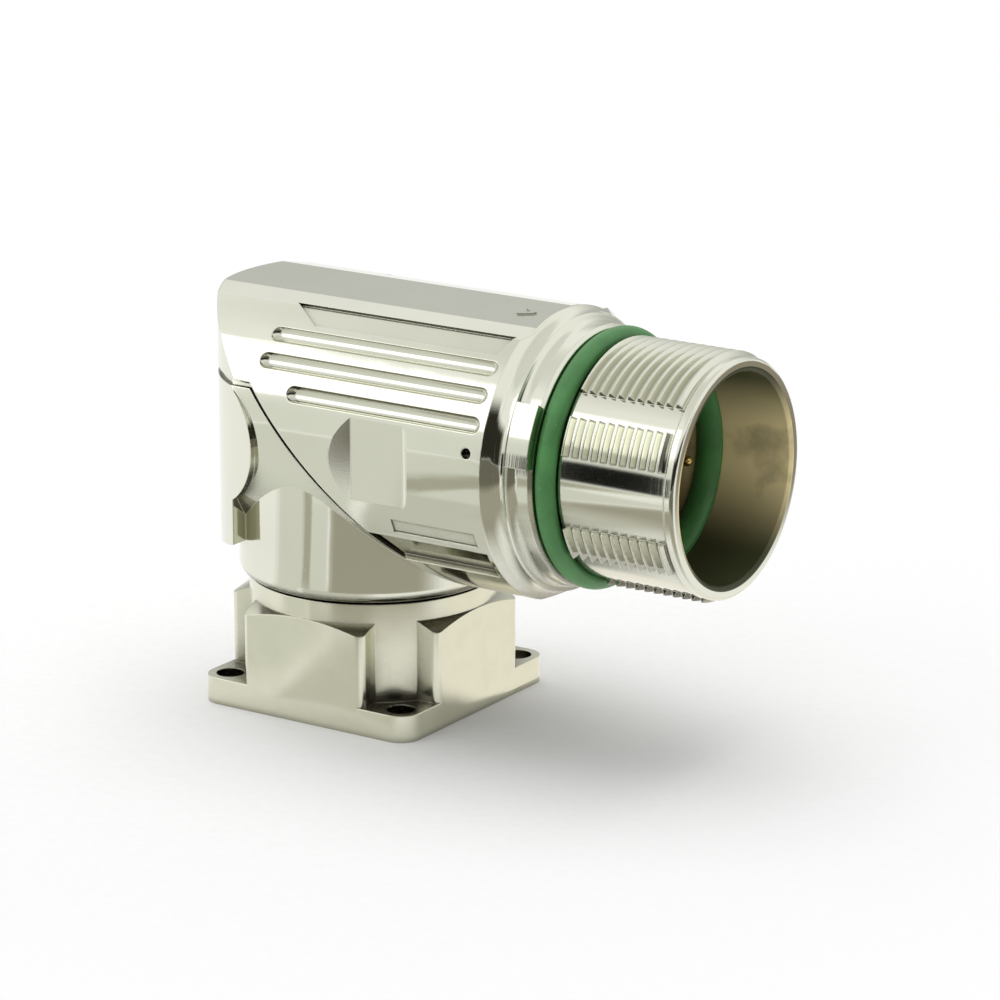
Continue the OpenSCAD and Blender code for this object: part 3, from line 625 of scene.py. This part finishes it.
def flag_material(name, colour, fades):
    """Plain sheet of one colour whose edges fade away."""
    material = bpy.data.materials.new(name)
    material.use_nodes = True
    tree = material.node_tree
    tree.nodes.clear()
    place_on = put(tree, "ShaderNodeUVMap", uv_map="Map").outputs[0]
    split = put(tree, "ShaderNodeSeparateXYZ", {0: place_on}).outputs
    edges = (("X", 0.0, fades[0]), ("X", 1.0, -fades[1]), ("Y", 0.0, fades[2]), ("Y", 1.0, -fades[3]))
    cover = 1.0
    for way, edge, fade in edges:
        if fade:
            cover = calc(tree, "MULTIPLY", cover, ramp(tree, split[way], edge, edge + fade))
    clear = put(tree, "ShaderNodeBsdfTransparent").outputs[0]
    glow = put(tree, "ShaderNodeEmission", {"Color": rgba(colour), "Strength": 1.0}).outputs[0]
    mixed = put(tree, "ShaderNodeMixShader", {0: cover, 1: clear, 2: glow}).outputs[0]
    put(tree, "ShaderNodeOutputMaterial", {"Surface": mixed})
    return material


class SOCKET_OT_stage(Operator):
    """Set up the floor, the light, the cards and the camera"""
    bl_idname = "socket.stage"
    bl_label = "Stage"

    def execute(self, context):
        own = context.scene.socket_studio
        self.make_floor(own)
        self.make_flags()
        self.make_light(context.scene, own)
        self.make_camera(context.scene, own)
        context.scene.view_settings.view_transform = "Standard"
        return {"FINISHED"}

    def make_floor(self, own):
        """A plain disc that keeps the shadow and fades to white away from the part."""
        floor = sweep("floor", (0, 360), ((0.0, 0.0), (FLOOR_RADIUS, 0.0)), rows=24)
        material, tree, shader = start_material("Floor")
        shader.inputs["Roughness"].default_value = 0.9
        shader.inputs["Specular IOR Level"].default_value = 0.1
        where = put(tree, "ShaderNodeTexCoord").outputs["Object"]
        speckle = noise(tree, where, 900.0, 3.0)
        paler = rgba([min(1.0, 1.02 * value) for value in own.floor_colour])
        tone = blend(tree, ramp(tree, speckle, 0.3, 0.7), rgba(own.floor_colour), paler)
        tree.links.new(tone, shader.inputs["Base Color"])
        away = put(tree, "ShaderNodeVectorMath", {0: where}, operation="LENGTH").outputs["Value"]
        eye, gloss = seeing_rays(tree)
        for_eye = ramp(tree, away, SHADOW_CORE * own.shadow_radius, own.shadow_radius)
        share = calc(
            tree, "ADD", calc(tree, "MULTIPLY", eye, for_eye),
            calc(tree, "MULTIPLY", gloss, ramp(tree, away, *GLOSS_FADE)), clamp=True)
        white = put(tree, "ShaderNodeEmission", {"Color": (1, 1, 1, 1), "Strength": 1.0}).outputs[0]
        mixed = put(tree, "ShaderNodeMixShader", {0: share, 1: shader.outputs[0], 2: white}).outputs[0]
        tree.links.new(mixed, tree.nodes["Material Output"].inputs["Surface"])
        floor.data.materials.append(material)

    def make_flags(self):
        """The cards that the polished faces reflect."""
        for name, (arc, profile, colour, fades) in FLAGS.items():
            card = sweep(name, arc, profile)
            card.data.materials.append(flag_material(name, colour, fades))
            card.visible_camera = False
            card.visible_diffuse = False
            card.visible_shadow = False
            card.visible_transmission = False

    def make_light(self, scene, own):
        """Even light from all round, a softbox overhead and a panel beside the camera."""
        world = bpy.data.worlds.new("Studio")
        world.use_nodes = True
        tree = world.node_tree
        tree.nodes.clear()
        even = put(tree, "ShaderNodeBackground", {"Color": (1, 1, 1, 1), "Strength": own.ambient})
        white = put(tree, "ShaderNodeBackground", {"Color": (1, 1, 1, 1), "Strength": 1.0})
        seen = calc(tree, "MAXIMUM", *seeing_rays(tree))
        mixed = put(tree, "ShaderNodeMixShader", {0: seen, 1: even.outputs[0], 2: white.outputs[0]})
        put(tree, "ShaderNodeOutputWorld", {"Surface": mixed.outputs[0]})
        scene.world = world
        softbox = self.add_panel(scene, "softbox", own.softbox_energy, *SOFTBOX)
        softbox.visible_glossy = False
        self.add_panel(scene, "fill", own.fill_energy, *FILL)

    def add_panel(self, scene, name, energy, place_at, side):
        """A square lamp that looks at the part."""
        lamp = bpy.data.lights.new(name, "AREA")
        lamp.size = side
        lamp.energy = energy
        piece = bpy.data.objects.new(name, lamp)
        piece.location = place_at
        piece.rotation_euler = (-Vector(place_at)).to_track_quat("-Z", "Y").to_euler()
        scene.collection.objects.link(piece)
        return piece

    def make_camera(self, scene, own):
        """The camera at the photograph's viewing angle."""
        back = Vector(CAMERA_BACK).normalized()
        right = Vector(CAMERA_RIGHT).normalized()
        up = back.cross(right)
        eye = back * CAMERA_PLACE[0] + right * CAMERA_PLACE[1] + up * CAMERA_PLACE[2]
        data = bpy.data.cameras.new("camera")
        data.sensor_width = SENSOR_WIDTH
        data.lens = own.lens
        data.clip_start, data.clip_end = 0.01, 50.0
        camera = bpy.data.objects.new("camera", data)
        camera.matrix_world = Matrix((
            (right.x, up.x, back.x, eye.x),
            (right.y, up.y, back.y, eye.y),
            (right.z, up.z, back.z, eye.z),
            (0.0, 0.0, 0.0, 1.0)))
        scene.collection.objects.link(camera)
        scene.camera = camera


class SOCKET_PT_sidebar(Panel):
    """Lists the steps that dress the socket"""
    bl_idname = "SOCKET_PT_sidebar"
    bl_label = "Connector Socket"
    bl_space_type = "VIEW_3D"
    bl_region_type = "UI"
    bl_category = "Socket"

    def draw(self, context):
        for step in STEPS:
            self.layout.operator(step.bl_idname)


STEPS = (
    SOCKET_OT_flange, SOCKET_OT_body, SOCKET_OT_green_seals, SOCKET_OT_black_seals,
    SOCKET_OT_insert, SOCKET_OT_contacts, SOCKET_OT_snap_rings, SOCKET_OT_stage,
)
SETTINGS = {
    "socket_nickel": NickelSettings, "socket_seals": SealSettings,
    "socket_contacts": ContactSettings, "socket_studio": StudioSettings,
}


def register():
    for settings in SETTINGS.values():
        bpy.utils.register_class(settings)
    for name, settings in SETTINGS.items():
        setattr(bpy.types.Scene, name, PointerProperty(type=settings))
    for step in STEPS:
        bpy.utils.register_class(step)
    bpy.utils.register_class(SOCKET_PT_sidebar)


def unregister():
    bpy.utils.unregister_class(SOCKET_PT_sidebar)
    for step in reversed(STEPS):
        bpy.utils.unregister_class(step)
    for name, settings in SETTINGS.items():
        delattr(bpy.types.Scene, name)
        bpy.utils.unregister_class(settings)


def main():
    register()
    bpy.ops.socket.flange()
    bpy.ops.socket.body()
    bpy.ops.socket.green_seals()
    bpy.ops.socket.black_seals()
    bpy.ops.socket.insert()
    bpy.ops.socket.contacts()
    bpy.ops.socket.snap_rings()
    bpy.ops.socket.stage()


if __name__ == "__main__":
    main()
